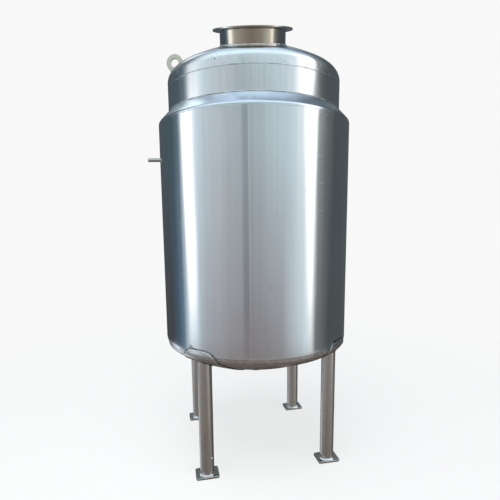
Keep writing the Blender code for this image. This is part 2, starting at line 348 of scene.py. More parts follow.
def bottom_profile(offset):
    """Underside of the jacket from its tangent line in to the axis, moved outwards by an offset."""
    points = dish(JACKET_BOTTOM_Z, JACKET_RADIUS, BOTTOM_KNUCKLE, BOTTOM_CROWN, offset, (28, 24))
    return flipped(points, JACKET_BOTTOM_Z)


def bottom_surface(s, offset):
    """(radius, z, slope) of the jacket's lower corner at a run s down from the pads' top edge.

    The slope is that of the outward direction: 0 level and -90 straight down.
    """
    drop = PAD_TOP_Z - JACKET_BOTTOM_Z
    if s <= drop:
        return JACKET_RADIUS + offset, PAD_TOP_Z - s, 0
    knuckle_r = JACKET_RADIUS - BOTTOM_KNUCKLE
    reach = BOTTOM_CROWN - BOTTOM_KNUCKLE
    join = 90 - degrees(asin(knuckle_r / reach))
    angle = degrees((s - drop) / BOTTOM_KNUCKLE)
    if angle <= join:
        turn = radians(angle)
        radius = BOTTOM_KNUCKLE + offset
        return knuckle_r + radius * cos(turn), JACKET_BOTTOM_Z - radius * sin(turn), -angle
    crown_z = JACKET_BOTTOM_Z + sqrt(reach ** 2 - knuckle_r ** 2)
    run = s - drop - radians(join) * BOTTOM_KNUCKLE
    angle = join + degrees(run / BOTTOM_CROWN)
    turn = radians(angle)
    radius = BOTTOM_CROWN + offset
    return radius * cos(turn), crown_z - radius * sin(turn), -angle


def run_to(passes):
    """Run at which the lower corner's surface first fails a test of (radius, z)."""
    return last_passing(0, BOTTOM_RUN, lambda s: passes(*bottom_surface(s, 0)[:2]))


def under_z(radius, offset):
    """Height of the jacket's underside, moved outwards by an offset, at a distance from the axis."""
    run = last_passing(0, BOTTOM_RUN, lambda s: bottom_surface(s, offset)[0] > radius)
    return bottom_surface(run, offset)[1]


def on_pad(bearing, u, s, offset):
    """A point and its outward direction on the lower corner, u sideways from a leg's bearing."""
    r, z, slope = bottom_surface(s, offset)
    here = bearing + degrees(asin(u / r))
    tilt = radians(slope)
    return at_bearing(here, r, z), at_bearing(here, cos(tilt), sin(tilt))


def crown_centre_z():
    """Height of the centre of the top head's crown sphere."""
    reach = HEAD_CROWN - HEAD_KNUCKLE
    return HEAD_TANGENT_Z - sqrt(reach ** 2 - (VESSEL_RADIUS - HEAD_KNUCKLE) ** 2)


def neck_place():
    """Matrix from the neck's own axes to the row frame; Z runs from the crown's centre out of the neck."""
    lean = asin(NECK_OFFSET / HEAD_CROWN)
    turn = Matrix.Rotation(radians(NECK_BEARING), 4, "Z")
    return Matrix.Translation((0, 0, crown_centre_z())) @ turn @ Matrix.Rotation(lean, 4, "X")


def head_skin(offset, rows):
    """Grid of points on the top head from the neck's hole out to the skirt, one row per great circle."""
    turn = neck_place().to_3x3()
    centre = Vector((0, 0, crown_centre_z()))
    knuckle_r = VESSEL_RADIUS - HEAD_KNUCKLE
    join_z = cos(asin(knuckle_r / (HEAD_CROWN - HEAD_KNUCKLE)))
    start = asin((NECK_RADIUS + GAP) / (HEAD_CROWN + offset))
    axis = turn @ Vector((0, 0, 1))
    shape = (HEAD_TANGENT_Z, VESSEL_RADIUS, HEAD_KNUCKLE, HEAD_CROWN)
    knuckle = dish(*shape, offset, (10, 1))[:11]
    grid = []
    for bearing in all_round(rows):
        side = turn @ at_bearing(bearing, 1, 0)
        length = hypot(axis.z, side.z)
        end = atan2(side.z, axis.z) + acos(join_z / length)
        row = []
        for angle in spread(start, end, 24):
            row.append(centre + (axis * cos(angle) + side * sin(angle)) * (HEAD_CROWN + offset))
        rim = row[-1]
        bearing = degrees(atan2(rim.x, -rim.y))
        row += [at_bearing(bearing, r, z) for r, z in reversed(knuckle[:-1])]
        row += [at_bearing(bearing, VESSEL_RADIUS + offset, HEAD_SEAM_Z + GAP / 2)]
        grid.append(row)
    return grid


def head_height(point):
    """How far a point stands off the top head's outer surface."""
    r = hypot(point.x, point.y)
    knuckle_r = VESSEL_RADIUS - HEAD_KNUCKLE
    join = asin(knuckle_r / (HEAD_CROWN - HEAD_KNUCKLE))
    from_crown = Vector((r, point.z - crown_centre_z()))
    if atan2(from_crown.x, from_crown.y) < join:
        return from_crown.length - HEAD_CROWN
    if point.z > HEAD_TANGENT_Z:
        return hypot(r - knuckle_r, point.z - HEAD_TANGENT_Z) - HEAD_KNUCKLE
    return r - VESSEL_RADIUS


# Materials

def new_material(name):
    material = bpy.data.materials.new(name)
    material.use_nodes = True
    return material, material.node_tree, material.node_tree.nodes["Principled BSDF"]


def add_node(tree, kind, inputs, **settings):
    """A shader node whose inputs are plain values or other nodes' outputs."""
    node = tree.nodes.new("ShaderNode" + kind)
    for name, value in settings.items():
        setattr(node, name, value)
    for socket, value in inputs.items():
        if isinstance(value, bpy.types.NodeSocket):
            tree.links.new(value, node.inputs[socket])
        else:
            node.inputs[socket].default_value = value
    return node


def object_point(tree):
    """A surface point in the object's own axes."""
    return tree.nodes.new("ShaderNodeTexCoord").outputs["Object"]


def value_range(source, low, high, from_low=0, from_high=1):
    """A value carried from one range over to another, and held inside it."""
    ends = {"From Min": from_low, "From Max": from_high, "To Min": low, "To Max": high}
    return add_node(source.id_data, "MapRange", {"Value": source, **ends}).outputs["Result"]


def fade(source, start, end):
    """0 up to where a value reaches the start, 1 from the end on; the end may be the lower one."""
    return value_range(source, 0, 1, start, end)


def stretched_noise(tree, scale, detail=4, rough=0.55, turn=(0, 0, 0)):
    """Noise in the object's own axes, finer or coarser along each."""
    mapping = add_node(tree, "Mapping", {"Vector": object_point(tree), "Scale": scale, "Rotation": turn})
    look = {"Scale": 1, "Detail": detail, "Roughness": rough}
    return add_node(tree, "TexNoise", {"Vector": mapping.outputs["Vector"], **look}).outputs["Fac"]


def arithmetic(operation, first, second):
    return add_node(first.id_data, "Math", {0: first, 1: second}, operation=operation).outputs["Value"]


def times(first, second):
    return arithmetic("MULTIPLY", first, second)


def plus(first, second):
    return arithmetic("ADD", first, second)


def rgba(tone):
    """Opaque colour from an (r, g, b) tuple, or a grey from one number."""
    return (*tone, 1) if isinstance(tone, tuple) else (tone, tone, tone, 1)


def blend(factor, first, second):
    """One colour turning into another; each is a node's output or a tone as in rgba."""
    ends = [end if isinstance(end, bpy.types.NodeSocket) else rgba(end) for end in (first, second)]
    inputs = {"Factor": factor, "A": ends[0], "B": ends[1]}
    return add_node(factor.id_data, "Mix", inputs, data_type="RGBA").outputs["Result"]


def position(tree):
    """X, Y and Z of a surface point in the object's own axes."""
    parts = add_node(tree, "SeparateXYZ", {"Vector": object_point(tree)})
    return [parts.outputs[axis] for axis in "XYZ"]


def spot(tree, centre, radius):
    """1 at a fixed place in the object's axes, fading to 0 at a radius, with a ragged edge."""
    away = add_node(tree, "VectorMath", {0: object_point(tree), 1: centre}, operation="DISTANCE")
    ragged = value_range(stretched_noise(tree, (150, 150, 150)), -0.4 * radius, 0.4 * radius)
    return value_range(plus(away.outputs["Value"], ragged), 1, 0, 0.5 * radius, radius)


def add_relief(tree, shader, height, depth, strength=1):
    """Fine relief in the surface's shading."""
    relief = add_node(tree, "Bump", {"Height": height, "Distance": depth, "Strength": strength})
    tree.links.new(relief.outputs["Normal"], shader.inputs["Normal"])


def steel(name, colour, dark, rough, grain, grain_depth, smudge=0.06, scratches=True, marks=None):
    """Brushed steel: streaks along the grain, cloudy polish, smudges and stray scratches."""
    material, tree, shader = new_material(name)
    shader.inputs["Metallic"].default_value = 1
    streak = stretched_noise(tree, grain, 5, 0.6)
    fine = stretched_noise(tree, tuple(5 * g for g in grain), 2, 0.5)
    cloud = stretched_noise(tree, (3.1, 3.1, 2.2), 3, 0.5)
    spots = stretched_noise(tree, (14, 14, 9), 4, 0.62)

    tone = plus(times(streak, 0.6), times(cloud, 0.4))
    shade = blend(fade(tone, 0.34, 0.66), dark, colour)
    stain = value_range(spots, 0, 0.3, 0.62, 0.8)
    shade = blend(stain, shade, tuple(0.8 * c for c in dark))

    polish = value_range(streak, rough * 0.72, rough * 1.3, 0.3, 0.7)
    polish = plus(polish, value_range(spots, 0, smudge, 0.48, 0.75))
    if scratches:
        for turn, seed in (((0, 0.35, 0.2), 1), ((0.3, -0.5, 0.9), 1.3)):
            line = stretched_noise(tree, (420 * seed, 420, 5), 1, 0.3, turn)
            where = stretched_noise(tree, (6 * seed, 6, 6), 2, 0.5, turn)
            line = fade(line, 0.7, 0.76)
            mark = times(line, fade(where, 0.55, 0.66))
            shade = blend(times(mark, 0.45), shade, (0.86, 0.87, 0.88))
            polish = plus(polish, times(mark, 0.16))
    if marks:
        shade, polish = marks(tree, shade, polish)
    tree.links.new(shade, shader.inputs["Base Color"])
    tree.links.new(polish, shader.inputs["Roughness"])

    height = plus(times(streak, 0.8), times(fine, 0.2))
    add_relief(tree, shader, height, grain_depth)
    return material


def ground_off(tree, shade, polish, low, high):
    """A mottled band between two heights where a weld was ground off."""
    z = position(tree)[2]
    rise = fade(z, low - 0.006, low + 0.004)
    fall = value_range(z, 1, 0, high - 0.01, high + 0.006)
    patch = value_range(stretched_noise(tree, (38, 38, 90), 4, 0.6), 0.15, 1, 0.36, 0.62)
    band = times(times(rise, fall), patch)
    shade = blend(times(band, 0.5), shade, (0.78, 0.78, 0.79))
    return shade, plus(polish, times(band, 0.22))


def jacket_marks_and_shade(tree, shade, polish):
    """Painted shade on the flatter strip beside the long seam, the ground-off lower edge and a smear over a
    pad.
    """
    x, y, z = position(tree)
    bearing = arithmetic("ARCTAN2", x, times(y, -1))
    # Painted shade: the strip beside the long seam is darkened, fading out towards the bottom.
    turn = radians(JACKET_SEAM_BEARING)
    rise = value_range(bearing, 0, 0.74, turn - 0.073, turn - 0.046)
    fall = value_range(bearing, 1, 0, turn - 0.012, turn - 0.002)
    strip = times(times(rise, fall), value_range(z, 0.25, 1, 0.62, 0.82))
    shade = blend(strip, shade, (0.47, 0.49, 0.51))
    shade, polish = ground_off(tree, shade, polish, JACKET_BOTTOM_Z, 0.602)
    smear = times(spot(tree, (-0.3472, -0.2863, 0.6121), 0.016), 0.8)
    return blend(smear, shade, (0.2, 0.21, 0.22)), polish


def under_marks(tree, shade, polish):
    return ground_off(tree, shade, polish, 0.566, JACKET_BOTTOM_Z)


def shoulder_painted_shade(tree, shade, polish):
    """Painted shade darkening the shoulder's corner above its lower seam."""
    corner = value_range(position(tree)[2], 0.85, 0, 1.59, 1.602)
    return blend(corner, shade, (0.58, 0.61, 0.64)), polish


def head_marks_and_shade(tree, shade, polish):
    """A rougher crown under painted shade, and small dark marks at the left of the head's edge."""
    # Painted shade: the crown is darkened, besides being made rougher.
    crown = value_range(position(tree)[2], 0, 1, 1.812, 1.84)
    shade = blend(times(crown, 0.75), shade, (0.38, 0.39, 0.4))
    polish = plus(polish, times(crown, 0.12))
    for centre in ((-0.2243, -0.3336, 1.7713), (-0.215, -0.333, 1.786), (-0.233, -0.323, 1.78)):
        mark = times(spot(tree, centre, 0.006), 0.6)
        shade = blend(mark, shade, (0.2, 0.21, 0.22))
    return shade, polish


def neck_painted_reflection(tree, shade, polish):
    """Painted reflection: a brown front on the neck, fading to plain steel at its sides."""
    x, y, _ = position(tree)
    turn = radians(NECK_BEARING)
    side = arithmetic("ABSOLUTE", plus(times(x, cos(turn)), times(y, sin(turn))), 0)
    brown = value_range(side, 0.9, 0, 0.07, 0.112)
    return blend(brown, shade, (0.48, 0.4, 0.3)), polish


def weld_steel(name, colour, tint):
    """Weld metal with close ripples and a patchy heat tint."""
    material, tree, shader = new_material(name)
    shader.inputs["Metallic"].default_value = 1
    ripple = stretched_noise(tree, (330, 330, 330), 2, 0.5)
    patch = stretched_noise(tree, (26, 26, 26), 3, 0.55)
    shade = blend(fade(patch, 0.42, 0.62), colour, tint)
    tree.links.new(shade, shader.inputs["Base Color"])
    tree.links.new(value_range(ripple, 0.22, 0.42, 0.3, 0.7), shader.inputs["Roughness"])
    add_relief(tree, shader, ripple, 0.0006, 0.8)
    return material


def floor_material():
    """Pale studio floor that takes a faint shadow and fades into the backdrop's tone."""
    material, tree, shader = new_material("floor_paint")
    shader.inputs["Roughness"].default_value = 0.9
    shader.inputs["Base Color"].default_value = (0.84, 0.82, 0.79, 1)
    length = add_node(tree, "VectorMath", {0: object_point(tree)}, operation="LENGTH")
    far = value_range(length.outputs["Value"], 0.76, 1, 0.6, 3)
    glow = add_node(tree, "Emission", {"Color": BACKDROP})
    mix = add_node(tree, "MixShader", {0: far, 1: shader.outputs["BSDF"], 2: glow.outputs["Emission"]})
    tree.links.new(mix.outputs["Shader"], tree.nodes["Material Output"].inputs["Surface"])
    return material


BACKDROP = (0.94, 0.94, 0.94, 1)

POLISHED = steel(
    "polished_jacket", (0.695, 0.71, 0.725), (0.61, 0.62, 0.63), 0.09, (55, 55, 0.55), 0.00009,
    marks=jacket_marks_and_shade,
)
HEAD = steel(
    "polished_head", (0.72, 0.73, 0.74), (0.63, 0.64, 0.65), 0.19, (30, 30, 30), 0.00005,
    marks=head_marks_and_shade,
)
COLLAR = steel("polished_collar", (0.69, 0.7, 0.71), (0.62, 0.63, 0.64), 0.165, (60, 60, 1.2), 0.00008)
# Painted light: the shoulder's steel is a brighter, bluer copy of the polished steel, and its lower corner
# carries painted shade.
SHOULDER = steel(
    "polished_shoulder_painted_light", (0.84, 0.875, 0.91), (0.74, 0.77, 0.8), 0.2, (26, 26, 6), 0.00008,
    marks=shoulder_painted_shade,
)
# Painted reflection: a brown front is painted on the neck and flange, and on the outlet and ferrule that
# share this steel.
NECK = steel(
    "neck_steel_painted_reflection", (0.58, 0.585, 0.58), (0.46, 0.465, 0.46), 0.14, (70, 70, 3), 0.0001,
    marks=neck_painted_reflection,
)
FLANGE = steel(
    "turned_flange", (0.74, 0.75, 0.74), (0.62, 0.63, 0.62), 0.2, (40, 40, 40), 0.00005,
    marks=neck_painted_reflection,
)
UNDER = steel(
    "satin_underside", (0.66, 0.64, 0.62), (0.53, 0.51, 0.49), 0.2, (40, 40, 40), 0.00008,
    marks=under_marks,
)
LEG = steel("leg_tube", (0.6, 0.57, 0.53), (0.48, 0.45, 0.42), 0.3, (160, 160, 1.5), 0.00006)
PLATE = steel(
    "foot_plate", (0.58, 0.58, 0.55), (0.33, 0.33, 0.31), 0.24, (45, 45, 45), 0.00055,
    smudge=0.16,
)
LUG = steel(
    "lug_plate", (0.68, 0.64, 0.54), (0.56, 0.53, 0.44), 0.5, (60, 60, 60), 0.0002,
    smudge=0.1, scratches=False,
)
PAD = steel("polished_pad", (0.72, 0.735, 0.75), (0.6, 0.61, 0.62), 0.15, (40, 40, 12), 0.00008)
WELD = weld_steel("bright_weld", (0.84, 0.85, 0.86), (0.66, 0.64, 0.62))
GROUND_WELD = weld_steel("ground_weld", (0.58, 0.59, 0.6), (0.44, 0.44, 0.44))
DARK_WELD = weld_steel("dark_weld", (0.44, 0.42, 0.4), (0.24, 0.22, 0.21))
PAD_WELD = weld_steel("pad_weld", (0.22, 0.21, 0.21), (0.09, 0.085, 0.08))


# Jacket

def make_jacket_skin():
    inner = JACKET_RADIUS - JACKET_WALL
    low, high = JACKET_BOTTOM_Z + GAP / 2, JACKET_TOP_Z - GAP / 2
    plain = low + DRESSED_HEIGHT
    heights = spread(low, plain, 8)[:-1] + spread(plain, high, 72)
    skin = [(JACKET_RADIUS, z) for z in heights] + [(inner, high), (inner, low)]
    lathe("jacket_skin", skin, POLISHED, "jacket_shell", shift=jacket_shift)


def make_shoulder():
    rise = SHOULDER_TOP_Z - JACKET_TOP_Z
    run = JACKET_RADIUS - VESSEL_RADIUS - GAP
    slope = degrees(atan2(rise, run))
    turn = 90 - slope
    reach = SHOULDER_CORNER * tan(radians(turn / 2))
    low = JACKET_TOP_Z + GAP / 2
    edge = JACKET_RADIUS - JACKET_WAVE
    outer = arc(edge - SHOULDER_CORNER, low + reach, SHOULDER_CORNER, 0, turn, 6)
    inner_arc = arc(edge - SHOULDER_CORNER, low + reach, SHOULDER_CORNER - JACKET_WALL, 0, turn, 4)
    top_r = VESSEL_RADIUS + GAP
    last_r, last_z = outer[-1]
    cone = list(zip(spread(last_r, top_r, 6), spread(last_z, SHOULDER_TOP_Z, 6)))[1:]
    drop = JACKET_WALL / cos(radians(slope))
    inside = [(top_r, SHOULDER_TOP_Z - drop)] + inner_arc[::-1] + [(edge - JACKET_WALL, low)]
    profile = [(edge, low)] + outer + cone + inside
    lathe("shoulder_ring", profile, SHOULDER, "jacket_shoulder", shift=shoulder_shift)


def make_underside():
    outer = up_to_outlet(bottom_profile(-0.0002), JACKET_BOTTOM_Z)
    inner = up_to_outlet(bottom_profile(-JACKET_WALL), JACKET_BOTTOM_Z)
    lathe("dished_underside", outer + inner[::-1], UNDER, "jacket_bottom", shift=under_shift)


def under_shift(bearing, radius, z):
    """The underside's upper edge, dressed in to meet the jacket's."""
    depth = min(BOTTOM_KNUCKLE, max(0, JACKET_BOTTOM_Z - z))
    turned_in = BOTTOM_KNUCKLE - sqrt(BOTTOM_KNUCKLE ** 2 - depth ** 2)
    edge = dressed(bearing)
    more = JACKET_WAVE + edge + (UNDER_TAPER + edge / DRESSED_HEIGHT) * depth - turned_in
    return radius - 0.5 * (more + sqrt(more ** 2 + UNDER_SOFT ** 2)), z


def shoulder_shift(bearing, radius, z):
    """The hand-dressed shoulder: faint flats between its seams."""
    here = at_bearing(bearing, 1, 0)
    swell = noise.noise(Vector((here.x * 5, here.y * 5, z * 9 + 2)))
    return radius + SHOULDER_WAVE * max(-1, min(0.9, swell)) - 0.0001, z


def make_jacket_welds():
    seam = JACKET_RADIUS - 0.0014
    ring = ring_path(seam, JACKET_TOP_Z, 10)
    weld("shoulder_lower_weld", ring, 0.0045, 0.0008, GROUND_WELD)
    ring = ring_path(seam + 0.0002, JACKET_BOTTOM_Z + 0.0004, -30, inset=dressed)
    weld("bottom_corner_weld", ring, 0.0036, 0.0005, WELD, wobble=0.6)
    ring = ring_path(VESSEL_RADIUS + 0.001, SHOULDER_TOP_Z + 0.0002, 66)
    weld("shoulder_upper_weld", ring, 0.006, 0.0013, WELD)
    path = []
    for z in spread(JACKET_BOTTOM_Z + 0.002, JACKET_TOP_Z - 0.002, 120):
        bearing = JACKET_SEAM_BEARING + 0.12 * noise.noise(Vector((3, 1, z * 5)))
        r = jacket_shift(bearing, JACKET_RADIUS, z)[0]
        path.append((at_bearing(bearing, r - WELD_SUNK, z), at_bearing(bearing, 1, 0)))
    weld("jacket_long_weld", path, 0.003, 0.0003, POLISHED, False, wobble=0.6)
    for name, bearings, shares in (
        ("shoulder_seam_weld", (SHOULDER_SEAM_BEARING, SHOULDER_SEAM_BEARING), (0.06, 0.94)),
        ("shoulder_patch_weld", (-46.8, -49.7), (0.48, 0.1)),
    ):
        path = [on_shoulder(*p) for p in zip(spread(*bearings, 24), spread(*shares, 24))]
        weld(name, path, 0.0045, 0.0008, WELD, False, taper=0.15)


def make_jacket_ticks():
    for name, bearing, z, half, width, height in JACKET_TICKS:
        path = []
        for share in spread(-1, 1, 12):
            here = bearing + half * share
            r = jacket_shift(here, JACKET_RADIUS, z)[0]
            path.append((at_bearing(here, r - WELD_SUNK, z + TICK_RISE * share), at_bearing(here, 1, 0)))
        weld(name, path, width, height, WELD, False, wobble=0.4, taper=0.5)


def on_shoulder(bearing, share):
    """Point and outward direction on the shoulder's cone, share 0 at its lower seam and 1 at the top."""
    rise = SHOULDER_TOP_Z - JACKET_TOP_Z
    low_r, top_r = JACKET_RADIUS - 0.0012, VESSEL_RADIUS + GAP
    r = low_r + (top_r - low_r) * share
    slope = atan2(low_r - top_r, rise)
    point = at_bearing(bearing, r, JACKET_TOP_Z + rise * share)
    return point, at_bearing(bearing, cos(slope), sin(slope))


# Vessel

def make_vessel_shell():
    inner = VESSEL_RADIUS - VESSEL_WALL
    low, high = VESSEL_BOTTOM_Z + GAP / 2, HEAD_SEAM_Z - GAP / 2
    outside = [(VESSEL_RADIUS - COLLAR_WAVE, z) for z in spread(low, high, 40)]
    inside = [(inner, z) for z in spread(high, low, 40)]
    lathe("vessel_cylinder", outside + inside, COLLAR, "vessel_shell", shift=collar_shift)


def make_top_head():
    rows = [o + i[::-1] for o, i in zip(head_skin(0, FINE), head_skin(-VESSEL_WALL, FINE))]
    verts = [p for row in rows for p in row]
    faces = sheet_faces(len(rows), len(rows[0]), True, True)
    add_piece("dished_top", verts, faces, HEAD, "vessel_top_head")


def make_bottom_head():
    sides = []
    for offset in (0, -VESSEL_WALL):
        points = dish(VESSEL_BOTTOM_Z, VESSEL_RADIUS, HEAD_KNUCKLE, HEAD_CROWN, offset)
        sides.append(up_to_outlet(flipped(points, VESSEL_BOTTOM_Z), VESSEL_BOTTOM_Z))
    lathe("vessel_dished_bottom", sides[0] + sides[1][::-1], HEAD, "vessel_bottom_head")


def make_head_seam():
    ring = ring_path(VESSEL_RADIUS - COLLAR_WAVE, HEAD_SEAM_Z, 0)
    weld("head_seam_weld", ring, 0.0055, 0.0006, GROUND_WELD, wobble=0.6)


def collar_shift(bearing, radius, z):
    here = at_bearing(bearing, radius, z)
    swell = noise.noise(Vector((here.x * 8, here.y * 8, z * 3 + 1)))
    return radius + COLLAR_WAVE * max(-1, min(1, swell)), z


def make_neck():
    put = neck_place()
    flange_top = HEAD_CROWN + NECK_RISE
    flange_low = flange_top - FLANGE_THICKNESS
    root = sqrt((HEAD_CROWN - VESSEL_WALL) ** 2 - NECK_RADIUS ** 2) - NECK_INSIDE
    bore = NECK_RADIUS - NECK_WALL
    top = flange_low - GAP
    outside = [(NECK_RADIUS, z) for z in spread(root, top, 8)]
    inside = [(bore, z) for z in spread(top, root, 8)]
    lathe("neck_tube", outside + inside, NECK, "neck_pipe", put=put)
    corners = [
        (bore, flange_low, 0), (FLANGE_RADIUS, flange_low, 0.0016),
        (FLANGE_RADIUS, flange_top, 0.0016), (bore, flange_top, 0.0012),
    ]
    lathe("neck_ring_flange", rounded(corners, 4), FLANGE, "neck_flange", put=put)
    meet = sqrt(HEAD_CROWN ** 2 - NECK_RADIUS ** 2)
    ring = ring_path(NECK_RADIUS + 0.0008, meet + 0.001, 45, put=put)
    weld("neck_base_weld", ring, 0.008, 0.0028, WELD)
    ring = ring_path(NECK_RADIUS + 0.0004, flange_low - 0.0006, -45, put=put)
    weld("flange_weld", ring, 0.005, 0.0016, DARK_WELD)


# Legs

def pad_half_width(s):
    """Half width of a pad at a run s down from its top edge, its upper corners round in height."""
    above = bottom_surface(s, 0)[1] - (PAD_TOP_Z - PAD_CORNER)
    if above <= 0:
        return PAD_HALF
    return PAD_HALF - PAD_CORNER + sqrt(max(0, PAD_CORNER ** 2 - above ** 2))


def pad_corner_runs(inset=0):
    """(half width, run) round a pad's upper corner, from its side to its top edge."""
    flat = PAD_HALF - PAD_CORNER
    centre = PAD_TOP_Z - PAD_CORNER
    radius = PAD_CORNER - inset
    points = []
    for angle in spread(0, pi / 2, PAD_CORNER_STEPS):
        height = centre + radius * sin(angle)
        points.append((flat + radius * cos(angle), run_to(lambda r, z: z > height)))
    return points


def pad_outline(bearing, inset, offset):
    """Path of (point, outward direction) round a pad, moved in from its edge."""
    length = run_to(lambda r, z: r > PAD_INNER_RADIUS) - inset
    corner = pad_corner_runs(inset)
    side, start = corner[0]
    right = [(side, s) for s in spread(length, start, 24)[:-1]] + corner
    left = [(-u, s) for u, s in reversed(right)]
    foot = [(u, length) for u in spread(-side, side, 16)[1:-1]]
    return [on_pad(bearing, u, s, offset) for u, s in right + left + foot]


def make_pad(name, bearing):
    length = run_to(lambda r, z: r > PAD_INNER_RADIUS)
    corner = [s for _, s in reversed(pad_corner_runs())]
    start = corner[-1]
    runs = corner + spread(start, length, 20)[1:]
    runs = [s for s in runs if PAD_SOFT < s < length - PAD_SOFT]
    runs = [0, PAD_SOFT, *runs, length - PAD_SOFT, length]
    columns = 24
    lift = GAP + PAD_THICKNESS
    top, bottom = [], []
    for k, s in enumerate(runs):
        half = pad_half_width(s)
        end_row = k in (0, len(runs) - 1)
        across = [-half] + spread(PAD_SOFT - half, half - PAD_SOFT, columns) + [half]
        for j, u in enumerate(across):
            edge = end_row or j in (0, len(across) - 1)
            top.append(on_pad(bearing, u, s, lift - PAD_SOFT if edge else lift)[0])
            bottom.append(on_pad(bearing, u, s, GAP)[0])
    rows, width = len(runs), columns + 3
    count = rows * width
    sheet = sheet_faces(rows, width, False, False)
    faces = sheet + [tuple(count + i for i in reversed(face)) for face in sheet]
    rim = [*range(width), *range(2 * width - 1, count, width)]
    rim += [*range(count - 2, count - width - 1, -1), *range(count - 2 * width, 0, -width)]
    for a, b in zip(rim, rim[1:] + rim[:1]):
        faces.append((a, b, count + b, count + a))
    add_piece("pad_plate_" + name, top + bottom, faces, PAD, "leg_pad_" + name)


def make_pad_welds(name, bearing):
    """The dark weld round a pad and the bright edge ground on the pad beside it."""
    path = pad_outline(bearing, 0, GAP + 0.0006)
    weld("pad_weld_" + name, path, 0.0076, 0.0024, PAD_WELD)
    path = pad_outline(bearing, 0.0062, GAP + PAD_THICKNESS)
    weld("pad_ground_edge_" + name, path, 0.005, 0.0006, WELD, wobble=0.8)


def make_leg(name, middle):
    """A leg's tube, cut to the underside's curve, and the weld round its top."""
    clearance = GAP + PAD_THICKNESS
    levels = 40
    verts = []
    top_path = []
    for bearing in all_round(MEDIUM):
        lines = []
        for radius in (LEG_RADIUS, LEG_RADIUS - LEG_WALL):
            wall = middle + at_bearing(bearing, radius, 0)
            top = under_z(hypot(wall.x, wall.y), clearance) - 0.0002
            lines.append([Vector((wall.x, wall.y, z)) for z in spread(LEG_LOW_Z, top, levels)])
        verts += lines[0] + lines[1][::-1]
        top_path.append((lines[0][-1], at_bearing(bearing, 1, -0.8)))
    faces = sheet_faces(MEDIUM, 2 * (levels + 1), True, True)
    add_piece("leg_tube_" + name, verts, faces, LEG, "leg_" + name)
    weld("leg_top_weld_" + name, top_path, 0.007, 0.003, PAD_WELD)


def make_foot_weld(name, middle):
    ring = []
    for bearing in all_round(MEDIUM):
        point = middle + at_bearing(bearing, LEG_RADIUS + 0.0014, LEG_LOW_Z + 0.0014)
        ring.append((point, at_bearing(bearing, 1, 0.9)))
    weld("leg_foot_weld_" + name, ring, 0.015, 0.0056, WELD, wobble=0.35)


def make_leg_nick():
    """A dented, bright spot on the front left leg."""
    middle = Vector((-LEG_X, -LEG_Y, 0))
    path = []
    for bearing, z in zip(spread(*NICK_BEARINGS, 8), spread(*NICK_HEIGHTS, 8)):
        point = middle + at_bearing(bearing, LEG_RADIUS, z)
        path.append((point, at_bearing(bearing, 1, 0.9)))
    weld("leg_nick", path, 0.009, 0.0026, WELD, False, wobble=0.4, taper=0.4)


def make_foot(name, middle):
    levels = [(0, 0.0012), (0.0012, 0), (FOOT_THICKNESS - 0.0014, 0), (FOOT_THICKNESS, 0.0014)]
    verts = []
    for z, inset in levels:
        x, y = FOOT_WIDTH / 2 - inset, FOOT_DEPTH / 2 - inset
        corners = [(x, y), (-x, y), (-x, -y), (x, -y)]
        loop = rounded([(*corner, FOOT_CORNER - inset) for corner in corners], 6)
        verts += [middle + Vector((*point, z)) for point in loop]
    count = len(verts) // len(levels)
    faces = sheet_faces(len(levels), count, False, True)
    faces += [tuple(range(count)), tuple(range(count * (len(levels) - 1), count * len(levels)))]
    add_piece("foot_base_" + name, verts, faces, PLATE, "foot_plate_" + name)


# Lugs, nozzle and outlet

def lug_stand(bearing):
    """Matrix from a lug's own axes to the row frame; Z runs up the leaning plate from the head."""
    base_z = crown_centre_z() + sqrt(HEAD_CROWN ** 2 - LUG_BASE_RADIUS ** 2)
    lean = Matrix.Rotation(radians(LUG_LEAN), 4, "Y")
    turn = Matrix.Rotation(radians(bearing - 90), 4, "Z")
    return Matrix.Translation(at_bearing(bearing, LUG_BASE_RADIUS, base_z)) @ turn @ lean


def lug_edge(stand, angle):
    """Distance from the eye's centre to the plate's edge, which is cut to the head's curve below."""
    across, up = cos(angle), sin(angle)
    if up >= 0:
        return LUG_RADIUS
    limit = LUG_RADIUS / max(abs(across), LUG_RADIUS / LUG_LENGTH)

    def clears(r):
        return head_height(stand @ Vector((across * r, 0, LUG_EYE_HEIGHT + up * r))) > GAP

    return limit if clears(limit) else last_passing(0, limit, clears)


def make_lug(name, stand):
    half, inner = LUG_THICKNESS / 2, LUG_HOLE_RADIUS
    verts = []
    for i in range(LUG_STEPS):
        angle = tau * i / LUG_STEPS
        edge = lug_edge(stand, angle)
        section = [
            (inner, -half + LUG_SOFT), (inner + LUG_SOFT, -half), (edge - LUG_SOFT, -half),
            (edge, -half + LUG_SOFT), (edge, half - LUG_SOFT), (edge - LUG_SOFT, half),
            (inner + LUG_SOFT, half), (inner, half - LUG_SOFT),
        ]
        for r, y in section:
            verts.append(stand @ Vector((r * cos(angle), y, LUG_EYE_HEIGHT + r * sin(angle))))
    faces = sheet_faces(LUG_STEPS, 8, True, True)
    add_piece("lug_eye_" + name, verts, faces, LUG, "lifting_lug_" + name)


def make_lug_weld(name, stand):
    half = LUG_THICKNESS / 2
    across = spread(-LUG_RADIUS, LUG_RADIUS, 48)
    foot = [(x, -half) for x in across] + [(LUG_RADIUS, 0)]
    foot += [(-x, half) for x in across] + [(-LUG_RADIUS, 0)]
    path = []
    for x, y in foot:
        z = last_passing(-0.06, 0.06, lambda height: head_height(stand @ Vector((x, y, height))) <= 0)
        out = Vector((0.3 * x / LUG_RADIUS, 1 if y > 0 else -1 if y < 0 else 0, 0.8))
        path.append((stand @ Vector((x, y, z)), stand.to_3x3() @ out))
    weld("lug_weld_" + name, path, 0.007, 0.003, DARK_WELD, wobble=0.6)


